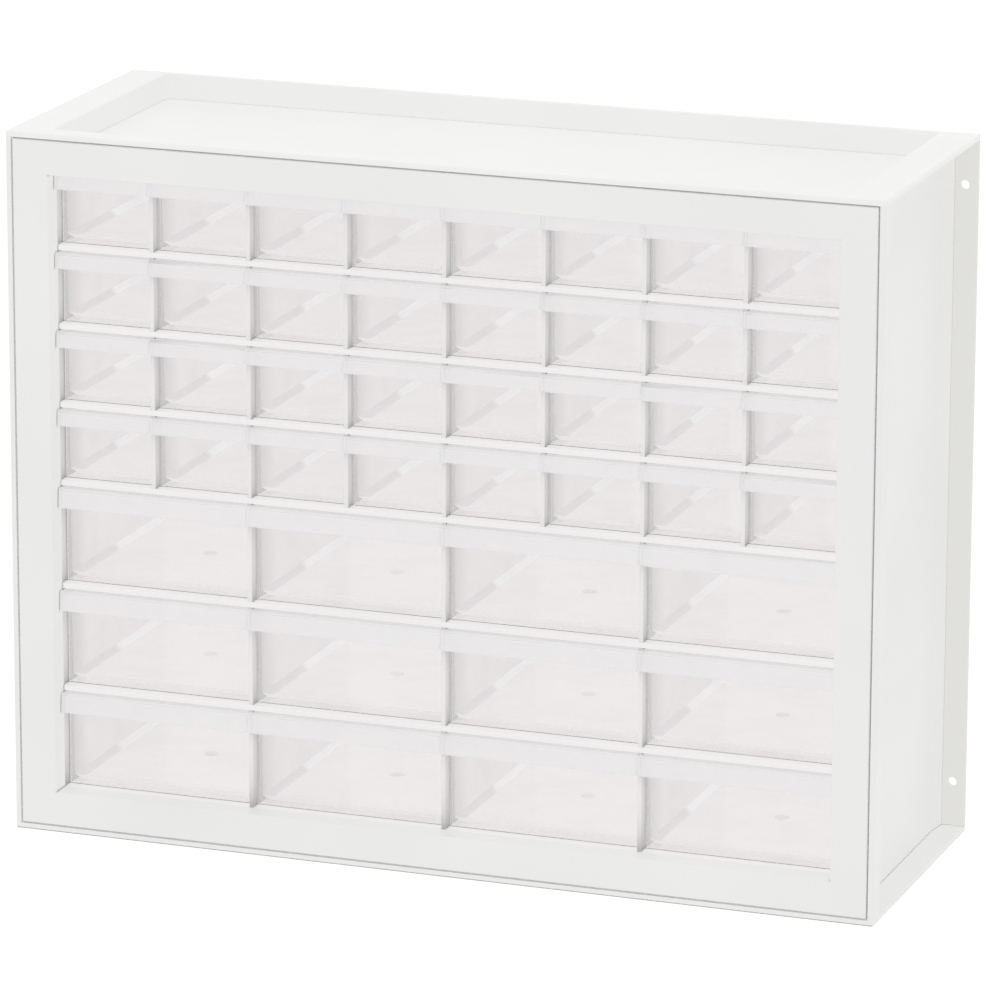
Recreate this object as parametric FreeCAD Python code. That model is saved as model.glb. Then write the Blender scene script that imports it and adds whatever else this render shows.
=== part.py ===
# Drawer cabinet for threads, beads and other small craft parts.
#
# A white moulded carcass of four outer panels, a front bezel, a back panel and a grid of shelves and
# dividers holds clear drawers: rows of small ones over rows of large ones, each large one as wide as
# two small ones. Every drawer is one clear moulding: a tapered tub, a front plate set back into its
# cell, and a hooked pull lip that reaches out in front of the grid and closes against the dividers.
#
# Millimetres. X runs to the right, Y to the back, Z up. The origin is on the surface that the
# cabinet stands on, in the middle of its width and of its depth.
import FreeCAD, Part
import os

# The grid of cells, from centre to centre of its shelves and dividers
SMALL_COLUMNS = 8
SMALL_ROWS = 4
LARGE_ROWS = 3
COLUMNS_PER_LARGE = 2     # columns of small drawers that one large drawer takes
COLUMN_PITCH = 56.1
SMALL_PITCH = 44.0
LARGE_PITCH = 58.5
SHELF = 3.0
DIVIDER = 2.25

# The carcass, from the cells outwards
SIDE_GUTTER = 4.475       # between the outermost divider and a side panel
END_GAP = 2.75            # between the outermost shelf and the tray floor above or below it
TRAY_FLOOR = 2.5
TRAY_DEPTH = 14.5         # recess in the top, and the same one under the bottom
SIDE_WEB = 2.5
SIDE_POCKET = 15.0        # recess in each outer side
RIM = 3.0                 # edge of the outer panels that shows round the bezel
FLANGE_WALL = 2.5         # wall behind the rim, and wall round each tray
FLANGE_DEPTH = 13.0       # of the band along the front of every outer panel
TRAY_END_GAP = 2.0        # between a tray's end wall and the side web
REAR_RIM = 3.0
RAMP_LENGTH = 15.0        # where the side web thickens towards its rear flange
RAMP_RISE = 2.0

# From the front to the back
BEZEL_DEPTH = 12.9
DRAWER_SETBACK = 6.4      # of the drawer's front plate, behind the front of the grid
DRAWER_LENGTH = 137.7
DRAWER_BACK_GAP = 6.0
BACK_PANEL = 2.5
BACK_RECESS = 12.5

# The bezel
BEZEL_PLATE = 2.5
BEZEL_GAP = 0.8           # shadow line between the bezel and the rim
BEZEL_SLEEVE = 2.0        # wall round the opening, which seats on the grid
BEZEL_SKIRT = 2.0         # wall round the outside
BEZEL_SKIRT_DEPTH = 8.0

# Screw holes in the rear flanges
SCREW_RADIUS = 2.6
SCREW_FROM_WEB = 7.5      # from the web's outer face
SCREW_FROM_END = 28.15    # from the top and from the bottom of the cabinet

# The drawers
DRAWER_WALL = 1.5
DRAWER_FLOOR = 1.6
FRONT_PLATE = 1.8
DRAFT = 0.6               # how far each wall of the tub leans in from its top to its floor
TUB_CORNER = 3.0          # upright outer corners at the back
TUB_COVE = 3.0            # bevel inside, round the floor and up the back corners
WALL_DROP = 4.5           # from the top of the lip down to the top edge of the tub
LIP_REACH = 4.9           # in front of the grid
LIP_TILT = 0.6            # how much further out the lip's lower edge is
LIP_WALL = 1.6
SMALL_LIP = 8.6
LARGE_LIP = 11.0
LIP_BEND = 1.2            # outer radius where the lip turns down

# Clearances of the drawers
SIDE_CLEARANCE = 0.4
FLOOR_CLEARANCE = 0.3
TOP_CLEARANCE = 0.7
LIP_GAP = 0.7             # between the lips of two neighbours
STOP_CLEARANCE = 0.3      # between the ends of the lip and the dividers

EDGE_ROUND = 1.0          # upright outer edges of the carcass
EDGE_BEVEL = 0.5          # edges round the trays and round the bezel
CORNER_ROUND = 5.0        # upright corners inside a tray

# What follows from them
GRID_WIDTH = SMALL_COLUMNS * COLUMN_PITCH
GRID_HEIGHT = SMALL_ROWS * SMALL_PITCH + LARGE_ROWS * LARGE_PITCH
WEB_INSIDE = GRID_WIDTH / 2 + DIVIDER / 2 + SIDE_GUTTER
WEB_OUTSIDE = WEB_INSIDE + SIDE_WEB
HALF_WIDTH = WEB_OUTSIDE + SIDE_POCKET
TRAY_BLOCK = TRAY_DEPTH + TRAY_FLOOR
LOWEST_LINE = TRAY_BLOCK + END_GAP + SHELF / 2
HIGHEST_LINE = LOWEST_LINE + GRID_HEIGHT
HEIGHT = HIGHEST_LINE + LOWEST_LINE
GRID_DEPTH = DRAWER_SETBACK + DRAWER_LENGTH + DRAWER_BACK_GAP
DEPTH = BEZEL_DEPTH + GRID_DEPTH + BACK_PANEL + BACK_RECESS
FRONT = -DEPTH / 2
BACK = DEPTH / 2
GRID_FRONT = FRONT + BEZEL_DEPTH
GRID_BACK = GRID_FRONT + GRID_DEPTH

SAME = 1e-6               # places nearer than this are one place

X_AXIS = FreeCAD.Vector(1, 0, 0)
Y_AXIS = FreeCAD.Vector(0, 1, 0)
Z_AXIS = FreeCAD.Vector(0, 0, 1)


def block(low, high):
    """A box from its lowest to its highest corner."""
    size = [h - l for l, h in zip(low, high)]
    return Part.makeBox(*size, FreeCAD.Vector(*low))


def extrusion(points, direction):
    """A solid with straight sides, from the corners of its outline."""
    corners = [FreeCAD.Vector(*p) for p in points]
    return Part.Face(Part.makePolygon(corners + corners[:1])).extrude(direction)


def picked(shape, wanted):
    """The edges of a shape that wanted picks by their two ends."""
    return [e for e in shape.Edges if len(e.Vertexes) == 2 and wanted(*[v.Point for v in e.Vertexes])]


def rounded(shape, radius, wanted):
    """The shape with a fillet on each edge that wanted picks."""
    return shape.makeFillet(radius, picked(shape, wanted))


def bevelled(shape, size, wanted):
    """The shape with a narrow bevel on each edge that wanted picks."""
    return shape.makeChamfer(size, picked(shape, wanted))


def upright(a, b):
    """True for the two ends of an edge along Z."""
    return abs(a.x - b.x) < SAME and abs(a.y - b.y) < SAME


def row_lines():
    """Heights of the shelves' middles, from the lowest up."""
    lines = [LOWEST_LINE + LARGE_PITCH * i for i in range(LARGE_ROWS + 1)]
    return lines + [lines[-1] + SMALL_PITCH * (i + 1) for i in range(SMALL_ROWS)]


def column_lines(step):
    """Places of the dividers' middles, from the left, step columns apart."""
    return [-GRID_WIDTH / 2 + COLUMN_PITCH * i for i in range(0, SMALL_COLUMNS + 1, step)]


def top_panel():
    """The top: a thin cap with a shallow tray sunk into it."""
    inside = WEB_INSIDE - TRAY_END_GAP - FLANGE_WALL
    tray_front = FRONT + FLANGE_DEPTH
    cap = block((-HALF_WIDTH, FRONT, HEIGHT - RIM), (HALF_WIDTH, BACK, HEIGHT))
    cap = rounded(cap, EDGE_ROUND, upright)
    tub = block((-inside - FLANGE_WALL, tray_front - FLANGE_WALL, HEIGHT - TRAY_BLOCK),
                (inside + FLANGE_WALL, BACK, HEIGHT))
    recess = block((-inside, tray_front, HEIGHT - TRAY_DEPTH), (inside, BACK - REAR_RIM, HEIGHT + RIM))
    recess = rounded(recess, CORNER_ROUND, upright)
    panel = cap.fuse(tub).cut(recess).removeSplitter()
    return bevelled(panel, EDGE_BEVEL, lambda a, b: min(a.z, b.z) > HEIGHT - SAME)


def bottom_panel():
    """The bottom: the top's mirror image, which stands on its rims."""
    return top_panel().mirror(FreeCAD.Vector(0, 0, HEIGHT / 2), Z_AXIS)


def right_side():
    """A side: an upright web between a hollow front band and a rear flange with two screw holes."""
    skin = HALF_WIDTH - RIM
    band = FRONT + FLANGE_DEPTH
    flange = BACK - REAR_RIM
    outline = [(WEB_INSIDE, band - FLANGE_WALL), (skin, band - FLANGE_WALL), (skin, FRONT),
               (HALF_WIDTH, FRONT), (HALF_WIDTH, band), (WEB_OUTSIDE, band),
               (WEB_OUTSIDE, flange - RAMP_LENGTH), (WEB_OUTSIDE + RAMP_RISE, flange),
               (HALF_WIDTH, flange), (HALF_WIDTH, BACK), (WEB_INSIDE, BACK)]
    panel = extrusion([(x, y, RIM) for x, y in outline], Z_AXIS * (HEIGHT - 2 * RIM))
    panel = rounded(panel, EDGE_ROUND, lambda a, b: upright(a, b) and a.x > HALF_WIDTH - SAME)
    for z in (SCREW_FROM_END, HEIGHT - SCREW_FROM_END):
        start = FreeCAD.Vector(WEB_OUTSIDE + SCREW_FROM_WEB, flange - REAR_RIM, z)
        panel = panel.cut(Part.makeCylinder(SCREW_RADIUS, 3 * REAR_RIM, start, Y_AXIS))
    return panel


def left_side():
    """The other side, the right one's mirror image."""
    return right_side().mirror(FreeCAD.Vector(0, 0, 0), X_AXIS)


def front_bezel():
    """The frame round the drawers: a plate with a sleeve round its opening and a skirt outside."""
    edge = HALF_WIDTH - RIM - BEZEL_GAP
    low = RIM + BEZEL_GAP
    side = GRID_WIDTH / 2 - DIVIDER / 2
    sill = LOWEST_LINE + SHELF / 2

    def ring(outer, inner, depth):
        """A rectangular frame; outer and inner are how far out it reaches in X and how low in Z."""
        body = block((-outer[0], FRONT, outer[1]), (outer[0], FRONT + depth, HEIGHT - outer[1]))
        opening = block((-inner[0], FRONT - depth, inner[1]),
                        (inner[0], FRONT + 2 * depth, HEIGHT - inner[1]))
        return body.cut(opening)

    plate = ring((edge, low), (side, sill), BEZEL_PLATE)
    sleeve = ring((side + BEZEL_SLEEVE, sill - BEZEL_SLEEVE), (side, sill), BEZEL_DEPTH)
    skirt = ring((edge, low), (edge - BEZEL_SKIRT, low + BEZEL_SKIRT), BEZEL_SKIRT_DEPTH)
    bezel = plate.fuse([sleeve, skirt]).removeSplitter()
    return bevelled(bezel, EDGE_BEVEL, lambda a, b: max(a.y, b.y) < FRONT + SAME)


def back_panel():
    """The sheet that closes the cells at the back, between the sides and the two trays."""
    back = GRID_BACK + BACK_PANEL
    return block((-WEB_INSIDE, GRID_BACK, TRAY_BLOCK), (WEB_INSIDE, back, HEIGHT - TRAY_BLOCK))


def shelf(line):
    """One shelf, from side to side and from the bezel to the back panel."""
    return block((-WEB_INSIDE, GRID_FRONT, line - SHELF / 2), (WEB_INSIDE, GRID_BACK, line + SHELF / 2))


def dividers(lines, step):
    """The upright plates between each shelf and the next one up."""
    plates = []
    for below, above in zip(lines, lines[1:]):
        for x in column_lines(step):
            plates.append(block((x - DIVIDER / 2, GRID_FRONT, below + SHELF / 2),
                                (x + DIVIDER / 2, GRID_BACK, above - SHELF / 2)))
    return Part.makeCompound(plates)


def tapered_block(bottom, top, z_bottom, z_top):
    """A block whose plan, (half width, front, back), changes evenly from its bottom to its top."""
    half, front, back = bottom
    top_half, top_front, top_back = top
    wedge = Part.makeWedge(-half, z_bottom, -back, -top_back, -top_half,
                           half, z_top, -front, -top_front, top_half)
    wedge.rotate(FreeCAD.Vector(0, 0, 0), X_AXIS, 90)
    return wedge


def tub(half, low, high):
    """The tapered tub, open at the top, between heights low and high. Its walls lean in downwards."""
    front = DRAWER_SETBACK
    back = front + DRAWER_LENGTH
    inside_front = front + FRONT_PLATE
    outer = tapered_block((half - DRAFT, front, back - DRAFT), (half, front, back), low, high)
    outer = rounded(outer, TUB_CORNER, lambda a, b: abs(a.z - b.z) > DRAWER_FLOOR and a.y > inside_front)
    wall = DRAWER_WALL
    floor = low + DRAWER_FLOOR
    inner = tapered_block((half - DRAFT - wall, inside_front, back - DRAFT - wall),
                          (half - wall, inside_front, back - wall), floor, high)
    inner = bevelled(inner, TUB_COVE, lambda a, b: max(a.z, b.z) < floor + SAME
                     or min(a.y, b.y) > inside_front + TUB_COVE and min(a.z, b.z) < high - SAME)
    return outer.cut(inner)


def pull_lip(left, right, half, top, height):
    """The hooked lip: a flange over the front plate, a tilted skirt and a closed end on each side.
    It reaches from -left to right, and half is half the width of what runs inside the cell."""
    front = -LIP_REACH + LIP_TILT
    bottom = top - height
    flange = block((-half, front, top - LIP_WALL), (half, DRAWER_SETBACK + FRONT_PLATE, top))
    profile = [(front, top), (front - LIP_TILT, bottom), (front - LIP_TILT + LIP_WALL, bottom),
               (front + LIP_WALL, top)]
    skirt = extrusion([(-left, y, z) for y, z in profile], X_AXIS * (left + right))
    ends = []
    for x in (-left, right - LIP_WALL):
        outline = [(front, top), (front - LIP_TILT, bottom),
                   (-STOP_CLEARANCE, bottom), (-STOP_CLEARANCE, top)]
        ends.append(extrusion([(x, y, z) for y, z in outline], X_AXIS * LIP_WALL))
    lip = skirt.fuse([flange] + ends).removeSplitter()
    return rounded(lip, LIP_BEND,
                   lambda a, b: min(a.z, b.z) > top - SAME and max(a.y, b.y) < front + SAME)


def drawer(columns, pitch, lip_height, at_left, at_right):
    """One drawer of columns by pitch in its own cell: x from the cell's middle, y from the front of
    the grid and z from the top of the shelf below. A lip stops short of the bezel at either end."""
    width = columns * COLUMN_PITCH
    half = (width - DIVIDER) / 2 - SIDE_CLEARANCE
    ceiling = pitch - SHELF
    top = ceiling - TOP_CLEARANCE
    reach = (width - LIP_GAP) / 2
    body = tub(half, FLOOR_CLEARANCE, top - WALL_DROP)
    plate = block((-half, DRAWER_SETBACK, FLOOR_CLEARANCE), (half, DRAWER_SETBACK + FRONT_PLATE, top))
    lip = pull_lip(half if at_left else reach, half if at_right else reach, half, top, lip_height)
    return body.fuse([plate, lip]).removeSplitter()


def drawers():
    """Every drawer in its cell, by name. Row 1 is at the top and column 1 at the left."""
    lines = row_lines()
    rows = SMALL_ROWS + LARGE_ROWS
    made = {}
    for row in range(1, rows + 1):
        below = lines[rows - row]
        pitch = lines[rows - row + 1] - below
        small = row <= SMALL_ROWS
        step = 1 if small else COLUMNS_PER_LARGE
        lip, size = (SMALL_LIP, "small") if small else (LARGE_LIP, "large")
        count = SMALL_COLUMNS // step
        kinds = {}
        for column in range(1, count + 1):
            ends = (column == 1, column == count)
            if ends not in kinds:
                kinds[ends] = drawer(step, pitch, lip, *ends)
            middle = (column - (count + 1) / 2) * step * COLUMN_PITCH
            place = FreeCAD.Vector(middle, GRID_FRONT, below + SHELF / 2)
            shape = kinds[ends].copy()
            shape.translate(place)
            made[f"{size}_drawer_{row}_{column}"] = shape
    return made


def build():
    """Every piece by name."""
    lines = row_lines()
    pieces = {
        "top_panel": top_panel(),
        "bottom_panel": bottom_panel(),
        "left_side": left_side(),
        "right_side": right_side(),
        "front_bezel": front_bezel(),
        "back_panel": back_panel(),
        "large_dividers": dividers(lines[:LARGE_ROWS + 1], COLUMNS_PER_LARGE),
        "small_dividers": dividers(lines[LARGE_ROWS:], 1),
    }
    for number, line in enumerate(reversed(lines), 1):
        pieces[f"shelf_{number}"] = shelf(line)
    pieces.update(drawers())
    return pieces


os.makedirs("parts", exist_ok=True)
for name, shape in build().items():
    if not shape.isValid():
        raise ValueError(f"{name} is not a valid shape")
    shape.exportStep(f"parts/{name}.step")
print(f"{2 * HALF_WIDTH:.1f} x {DEPTH:.1f} x {HEIGHT:.1f} mm")
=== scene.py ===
from math import radians

import bmesh
import bpy
from mathutils import Matrix, Vector


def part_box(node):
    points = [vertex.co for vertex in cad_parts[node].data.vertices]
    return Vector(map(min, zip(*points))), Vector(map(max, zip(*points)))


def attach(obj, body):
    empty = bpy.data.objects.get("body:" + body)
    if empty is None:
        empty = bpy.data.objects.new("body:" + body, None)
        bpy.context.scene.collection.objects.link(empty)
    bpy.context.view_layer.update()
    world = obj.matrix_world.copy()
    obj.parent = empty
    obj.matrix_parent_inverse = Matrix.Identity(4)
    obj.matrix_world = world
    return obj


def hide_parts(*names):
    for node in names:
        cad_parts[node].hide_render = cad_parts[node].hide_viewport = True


MM = 0.001
ACROSS = Vector((1, 0, 0))
UP = Vector((0, 0, 1))

# Where the camera stands, in millimetres, and how it is turned, in degrees
CAMERA_PLACE = (1209.6, -3354.1, 1150.9)
CAMERA_YAW = 19.83
CAMERA_PITCH = -15.035
CAMERA_ROLL = -0.175
CAMERA_LENS = 247.0
CAMERA_SENSOR = 36.0

# The light: its strength from all round, and each lamp's name, place, size and power, in metres and watts
WORLD_LIGHT = 0.93
LAMPS = (
    ("front_box", (0.3, -3.0, 1.0), 2.2, 3.0),
    ("top_box", (0.0, 0.2, 2.4), 1.8, 3.5),
)
LAMP_AIM = Vector((0, 0, 0.2))
FLOOR_HALF = 12.0
FLOOR_GLOW = 0.56         # with the light that falls on it, this shows the floor as white

# Bounced light is kept from a face by what lies nearer than these distances, in metres
CLEAR_REACH = 0.0002
GRID_REACH = 0.0009
DIVIDER_REACH = 0.032
SHELL_REACH = {
    "top_panel": 0.0002,
    "bottom_panel": 0.0010,
    "left_side": 0.0010,
    "right_side": 0.0002,
    "front_bezel": 0.0015,
    "back_panel": 0.0010,
}

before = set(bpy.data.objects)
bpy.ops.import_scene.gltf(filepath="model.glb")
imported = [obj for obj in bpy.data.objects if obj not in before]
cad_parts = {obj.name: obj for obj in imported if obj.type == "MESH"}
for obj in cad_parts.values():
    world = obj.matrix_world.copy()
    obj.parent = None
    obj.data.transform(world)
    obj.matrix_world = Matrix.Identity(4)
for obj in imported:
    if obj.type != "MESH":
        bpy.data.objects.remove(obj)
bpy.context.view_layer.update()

# Places in Y, in metres
GRID_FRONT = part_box("shelf_1")[0].y
PLATE_ZONE = (GRID_FRONT + 0.005, GRID_FRONT + 0.009)   # holds a drawer's front plate, behind its lip
WALL_SHADE_SPAN = (GRID_FRONT + 0.008, GRID_FRONT + 0.030)    # where a drawer's walls go from painted shade near the front plate to their own lighter tint
COVE_SHADE_SPAN = (-0.011, -0.005)                            # where the painted shade on the coves at the sides of its floor fades the same way
FLANGE_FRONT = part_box("right_side")[1].y - 0.0035       # just in front of the rear flanges, where their painted shade starts

# Sizes on a drawer, in metres
EDGE_WIDTH = 0.0021       # a flat face narrower than this is the edge of a wall
WALL_END = 0.0018         # how far the ends of the walls and the floor show round the front plate
TUB_FLOOR = 0.0016
MARK_RADIUS = 0.004       # the round moulding mark on a large drawer's floor
MARK_HEIGHT = 0.0003
MARK_SIDES = 28
MARK_BACK = 0.002         # its middle, in Y
JOIN = 1e-6               # two corners of a mesh nearer than this are one

# Which way a face looks, as the least that its normal has along an axis
SQUARE = 0.99             # straight along it
MAINLY = 0.9              # along it, leaning no more than the walls do
PARTLY = 0.3              # more to that side than the coves in front and behind


def add_object(name, bm, finishes):
    """An object of that name with the mesh in bm, which is freed."""
    mesh = bpy.data.meshes.new(name)
    bm.to_mesh(mesh)
    bm.free()
    for finish in finishes:
        mesh.materials.append(finish)
    made = bpy.data.objects.new(name, mesh)
    bpy.context.scene.collection.objects.link(made)
    return made


def camera():
    """A long lens, up and to the right of the cabinet."""
    data = bpy.data.cameras.new("camera")
    data.sensor_width = CAMERA_SENSOR
    data.lens = CAMERA_LENS
    data.clip_end = 20.0
    turned = Matrix.Identity(4)
    for angle, axis in ((CAMERA_YAW, "Z"), (CAMERA_PITCH, "X"), (CAMERA_ROLL, "Y"), (90.0, "X")):
        turned = turned @ Matrix.Rotation(radians(angle), 4, axis)
    made = bpy.data.objects.new("camera", data)
    made.matrix_world = Matrix.Translation(Vector(CAMERA_PLACE) * MM) @ turned
    bpy.context.scene.collection.objects.link(made)
    bpy.context.scene.camera = made


# Materials

class Nodes:
    """A short way to add and join shader nodes."""

    def __init__(self, tree):
        self.tree = tree
        self.tree.nodes.clear()

    def put(self, node, name, value):
        """Gives an input another node's output, a number, or a colour of three parts."""
        socket = node.inputs[name]
        if isinstance(value, bpy.types.NodeSocket):
            self.tree.links.new(value, socket)
        else:
            socket.default_value = (*value, 1) if isinstance(value, tuple) else value

    def add(self, kind, **inputs):
        """A node of that kind, with these inputs."""
        node = self.tree.nodes.new(kind)
        for name, value in inputs.items():
            self.put(node, name.replace("_", " "), value)
        return node

    def shader(self, kind, **inputs):
        """What a node of that kind gives, with these inputs."""
        return self.add(kind, **inputs).outputs[0]

    def math(self, operation, one, other):
        """Two numbers put together by that operation."""
        node = self.tree.nodes.new("ShaderNodeMath")
        node.operation = operation
        self.put(node, 0, one)
        self.put(node, 1, other)
        return node.outputs[0]

    def spread(self, value, start, end, low=0.0, high=1.0):
        """A number that goes from low to high as value goes from start to end."""
        return self.shader("ShaderNodeMapRange", Value=value, From_Min=start, From_Max=end, To_Min=low,
                           To_Max=high)

    def blend(self, share, one, other):
        """The colour one, with a share of the other."""
        node = self.tree.nodes.new("ShaderNodeMix")
        node.data_type = "RGBA"
        self.put(node, 0, share)
        self.put(node, 6, one)
        self.put(node, 7, other)
        return node.outputs[2]

    def mix(self, share, one, other):
        """The shader one, with a share of the other."""
        node = self.add("ShaderNodeMixShader", Fac=share)
        self.put(node, 1, one)
        self.put(node, 2, other)
        return node.outputs[0]

    def place(self):
        """The piece's own coordinates."""
        return self.add("ShaderNodeTexCoord").outputs["Object"]

    def depth(self):
        """How far back a point of the piece lies: its Y."""
        return self.add("ShaderNodeSeparateXYZ", Vector=self.place()).outputs["Y"]

    def noise(self, scale, detail=2.0):
        """Noise of that many lumps to the metre."""
        return self.add("ShaderNodeTexNoise", Vector=self.place(), Scale=scale, Detail=detail).outputs["Fac"]

    def cloud(self, scale, low, high, detail=2.0):
        """A number that drifts between low and high over the piece."""
        return self.spread(self.noise(scale, detail), 0.3, 0.7, low, high)

    def bump(self, height, distance, strength=1.0):
        """A surface raised by height, a number from 0 to 1, times distance."""
        return self.shader("ShaderNodeBump", Height=height, Distance=distance, Strength=strength)

    def looked_at(self):
        """1 where the view, a reflection or a view through glass meets the surface, and 0 for light."""
        path = self.add("ShaderNodeLightPath").outputs
        turned = self.math("MAXIMUM", path["Is Glossy Ray"], path["Is Transmission Ray"])
        return self.math("MAXIMUM", path["Is Camera Ray"], turned)


def material(name):
    """A new material, and the way to add its nodes."""
    made = bpy.data.materials.new(name)
    made.use_nodes = True
    return made, Nodes(made.node_tree)


def white_plastic(name, dark, light, flange_painted_shade=None):
    """Moulded white plastic with a fine satin grain, faintly cloudy, and a little polished in patches.
    Given a flange tint, the rear flanges are painted darker with it: painted shade, since they lie deep
    behind the side's pocket."""
    made, n = material(name)
    colour = n.blend(n.cloud(9.0, 0.0, 1.0), dark, light)
    # painted shade: a darker tint on the rear flanges, behind FLANGE_FRONT
    if flange_painted_shade:
        colour = n.blend(n.math("GREATER_THAN", n.depth(), FLANGE_FRONT), colour, flange_painted_shade)
    skin = n.shader("ShaderNodeBsdfPrincipled", Base_Color=colour, Roughness=n.cloud(35.0, 0.33, 0.43, 3.0),
                    IOR=1.49, Normal=n.bump(n.noise(2600.0, 1.0), 0.00002))
    n.add("ShaderNodeOutputMaterial", Surface=skin)
    return made


def clear_plastic(name, haze_share, tint, front_painted_shade=None, shade_span=COVE_SHADE_SPAN):
    """Clear moulded plastic. Part of each face scatters light, which is its haze; the rest lets the
    view through, and at a slant more of it shines. Given a front shade colour, the haze is painted darker
    in front and goes over to tint between the two places of the shade span: painted shade near the front
    plate."""
    made, n = material(name)
    normal = n.bump(n.noise(60.0), 0.0003, 0.3)
    # painted shade: the haze is darker towards the front of the drawer
    colour = n.blend(n.spread(n.depth(), *shade_span), front_painted_shade, tint) if front_painted_shade else tint
    front = n.shader("ShaderNodeBsdfDiffuse", Color=colour, Normal=normal)
    through = n.shader("ShaderNodeBsdfTranslucent", Color=colour, Normal=normal)
    haze = n.mix(0.1, front, through)
    pane = n.shader("ShaderNodeBsdfTransparent", Color=(0.99, 0.99, 0.995))
    body = n.mix(n.cloud(30.0, haze_share * 0.9, haze_share * 1.1), pane, haze)
    shine = n.shader("ShaderNodeBsdfGlossy", Roughness=0.09, Normal=normal)
    slant = n.math("POWER", n.add("ShaderNodeLayerWeight", Blend=0.5).outputs["Facing"], 3.0)
    n.add("ShaderNodeOutputMaterial", Surface=n.mix(n.spread(slant, 0.0, 1.0, 0.04, 0.65), body, shine))
    return made


def dress(name, finish, reach):
    """Gives a CAD node its finish, and says how near something must be to shade it."""
    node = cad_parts[name]
    node.cycles.ao_distance = reach
    node.data.materials.clear()
    node.data.materials.append(finish)


# The drawers

def in_plate(y):
    return PLATE_ZONE[0] < y < PLATE_ZONE[1]


def plate_faces(bm):
    """The front and the back of a drawer's front plate."""
    return [f for f in bm.faces if in_plate(f.calc_center_median().y) and abs(f.normal.y) > MAINLY]


def finish_of(face, left, right, foot):
    """Which finish a face of a drawer has, by where it is and which way it looks. left, right and foot
    are where the front plate ends and the ends of the walls and the floor begin."""
    place = face.calc_center_median()
    across, along, up = (abs(part) for part in face.normal)
    slim = face.calc_area() < EDGE_WIDTH * max(edge.calc_length() for edge in face.edges)
    if slim and max(across, along, up) > SQUARE:
        return "edge"
    if place.y < PLATE_ZONE[0]:
        return "lip"
    if in_plate(place.y):
        if place.x < left:
            return "rim"
        if place.x > right:
            return "wall"
        return "edge" if place.z < foot else "front"
    if max(across, along, up) < MAINLY and across > PARTLY:
        return "cove"
    if along > MAINLY:
        return "rear"
    if up > MAINLY:
        return "floor"
    return "foot" if across < PARTLY else "wall"


def drawer_piece(name):
    """A drawer with its loose triangles joined and its flat faces whole. Its front plate is cut where the
    ends of the walls and of the floor show round it, and each kind of face has its own finish."""
    bm = bmesh.new()
    bm.from_mesh(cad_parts[name].data)
    bmesh.ops.remove_doubles(bm, verts=bm.verts, dist=JOIN)
    bmesh.ops.dissolve_limit(bm, angle_limit=radians(1.0), verts=bm.verts, edges=bm.edges)
    plate = [v.co for f in plate_faces(bm) for v in f.verts]
    left = min(v.x for v in plate) + WALL_END
    right = max(v.x for v in plate) - WALL_END
    foot = min(v.z for v in plate) + WALL_END
    for axis, place in ((ACROSS, left), (ACROSS, right), (UP, foot)):
        faces = plate_faces(bm)
        edges = dict.fromkeys(e for f in faces for e in f.edges)
        corners = dict.fromkeys(v for f in faces for v in f.verts)
        bmesh.ops.bisect_plane(bm, geom=[*faces, *edges, *corners], plane_co=axis * place, plane_no=axis)
    kinds = list(CLEAR)
    for face in bm.faces:
        face.material_index = kinds.index(finish_of(face, left, right, foot))
    piece = add_object(name + "_clear", bm, CLEAR.values())
    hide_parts(name)
    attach(piece, name)


def floor_mark(name):
    """The round mark that moulding leaves on a large drawer's floor."""
    low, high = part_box(name)
    bm = bmesh.new()
    bmesh.ops.create_cone(bm, cap_ends=True, segments=MARK_SIDES, radius1=MARK_RADIUS,
                          radius2=MARK_RADIUS - MARK_HEIGHT, depth=MARK_HEIGHT)
    middle = ((low.x + high.x) / 2, MARK_BACK, low.z + TUB_FLOOR + MARK_HEIGHT / 2)
    bmesh.ops.translate(bm, vec=middle, verts=bm.verts)
    piece = add_object(name + "_mark", bm, [CLEAR_MARK])
    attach(piece, name)


# The room

def studio_floor():
    """A pale floor that shows as white but keeps a shadow."""
    made, n = material("studio_floor")
    paper = n.shader("ShaderNodeBsdfDiffuse", Color=(0.9, 0.9, 0.9))
    shown = n.tree.nodes.new("ShaderNodeAddShader")
    n.put(shown, 0, n.shader("ShaderNodeBsdfDiffuse", Color=(0.5, 0.5, 0.5)))
    n.put(shown, 1, n.shader("ShaderNodeEmission", Strength=FLOOR_GLOW))
    n.add("ShaderNodeOutputMaterial", Surface=n.mix(n.looked_at(), paper, shown.outputs[0]))
    bm = bmesh.new()
    bmesh.ops.create_grid(bm, x_segments=1, y_segments=1, size=FLOOR_HALF)
    floor = add_object("floor", bm, [made])


def studio_light():
    """Even light from all round, which shows as white, and two soft lamps in front and above."""
    world = bpy.data.worlds.new("world")
    world.use_nodes = True
    bpy.context.scene.world = world
    n = Nodes(world.node_tree)
    light = n.shader("ShaderNodeBackground", Color=(1, 1, 1), Strength=WORLD_LIGHT)
    white = n.shader("ShaderNodeBackground", Color=(1, 1, 1), Strength=1.0)
    n.add("ShaderNodeOutputWorld", Surface=n.mix(n.looked_at(), light, white))
    for name, place, size, power in LAMPS:
        data = bpy.data.lights.new(name, "AREA")
        data.size = size
        data.energy = power
        lamp = bpy.data.objects.new(name, data)
        lamp.location = place
        lamp.rotation_euler = (Vector(place) - LAMP_AIM).to_track_quat("Z", "Y").to_euler()
        bpy.context.scene.collection.objects.link(lamp)


def bounced_light():
    """Light that has bounced once reaches a face unless something is within its reach. It stands in for
    the light that soaks through thin white plastic."""
    cycles = bpy.context.scene.cycles
    cycles.diffuse_bounces = 4
    cycles.transparent_max_bounces = 32
    cycles.use_fast_gi = True
    cycles.fast_gi_method = "REPLACE"
    cycles.ao_bounces_render = 1
    bpy.context.scene.world.light_settings.distance = CLEAR_REACH


camera()

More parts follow.
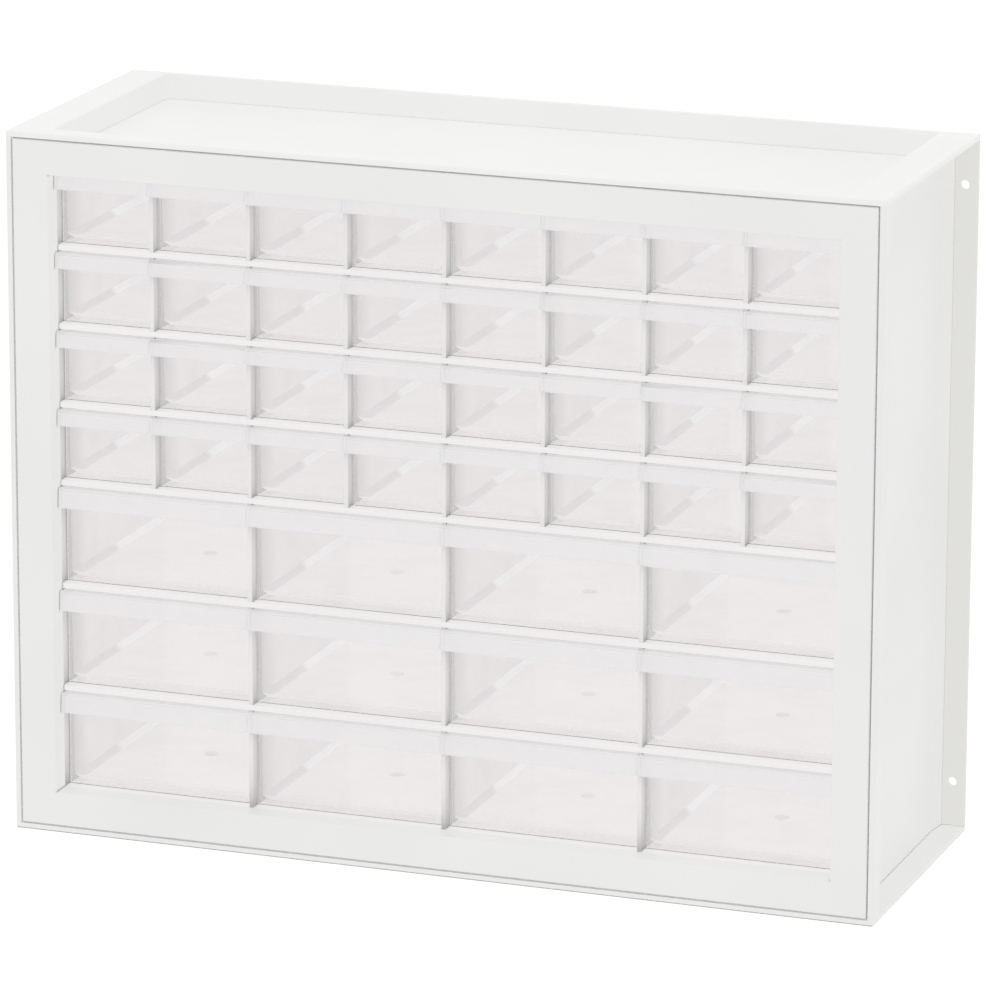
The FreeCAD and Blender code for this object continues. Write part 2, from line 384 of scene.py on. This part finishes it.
WHITE = white_plastic("white_plastic", (0.84, 0.84, 0.835), (0.87, 0.87, 0.86))
# the top panel is a lighter copy of the white: painted light from above
TOP_PAINTED_LIGHT = white_plastic("top_white_plastic_painted_light", (0.875, 0.875, 0.87), (0.905, 0.905, 0.895))
# the sides' rear flanges are painted a darker tint: painted shade behind the pocket
SIDE_WITH_FLANGE_SHADE = white_plastic("side_white_plastic_painted_flange_shade", (0.84, 0.84, 0.835), (0.87, 0.87, 0.86), (0.795, 0.79, 0.765))
# the shelves are a lighter, warmer copy of the white: painted light, for the glow inside the cells
INNER_PAINTED_LIGHT = white_plastic("inner_white_plastic_painted_light", (0.90, 0.885, 0.88), (0.92, 0.905, 0.90))
DIVIDER = white_plastic("divider_white_plastic", (0.855, 0.84, 0.835), (0.875, 0.86, 0.855))
SHELL_FINISH = {"top_panel": TOP_PAINTED_LIGHT, "left_side": SIDE_WITH_FLANGE_SHADE, "right_side": SIDE_WITH_FLANGE_SHADE}

# A drawer's finishes: cove is at the sides of its floor and up its rear corners, foot is in front of the
#  floor and behind it, and rim is the end of the left wall, beside the front plate, tinted dark as painted
#  shade
CLEAR = {
    # the walls' haze is painted darker near the front plate: painted shade
    "wall": clear_plastic("clear_wall_painted_front_shade", 0.65, (0.99, 0.928, 0.922), (0.75, 0.71, 0.71), WALL_SHADE_SPAN),
    "front": clear_plastic("clear_front", 0.10, (0.96, 0.945, 0.945)),
    "lip": clear_plastic("clear_lip", 0.70, (0.89, 0.877, 0.888)),
    # the floor is hazier and lighter than the walls: painted light, for the light from above
    "floor": clear_plastic("clear_floor_painted_light", 0.95, (0.995, 0.948, 0.942)),
    "edge": clear_plastic("clear_edge", 0.30, (0.90, 0.88, 0.88)),
    # the coves' haze is painted darker towards the front: painted shade
    "cove": clear_plastic("clear_cove_painted_front_shade", 0.85, (0.995, 0.985, 0.985), (0.80, 0.77, 0.775)),
    "rear": clear_plastic("clear_rear", 0.92, (0.99, 0.967, 0.96)),
    "foot": clear_plastic("clear_foot", 0.85, (0.93, 0.90, 0.895)),
    # painted shade: the rim is dark for the shade in the gap beside the divider
    "rim": clear_plastic("clear_rim_painted_shade", 0.45, (0.60, 0.58, 0.58)),
}
CLEAR_MARK = clear_plastic("clear_mark", 0.95, (0.94, 0.90, 0.90))

for name in sorted(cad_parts):
    if name.startswith("shelf_"):
        dress(name, INNER_PAINTED_LIGHT, GRID_REACH)
    elif name.endswith("_dividers"):
        dress(name, DIVIDER, DIVIDER_REACH)
    elif name in SHELL_REACH:
        dress(name, SHELL_FINISH.get(name, WHITE), SHELL_REACH[name])
    else:
        drawer_piece(name)
        if name.startswith("large_"):
            floor_mark(name)

studio_floor()
studio_light()
bounced_light()
bpy.context.scene.view_settings.view_transform = "Standard"
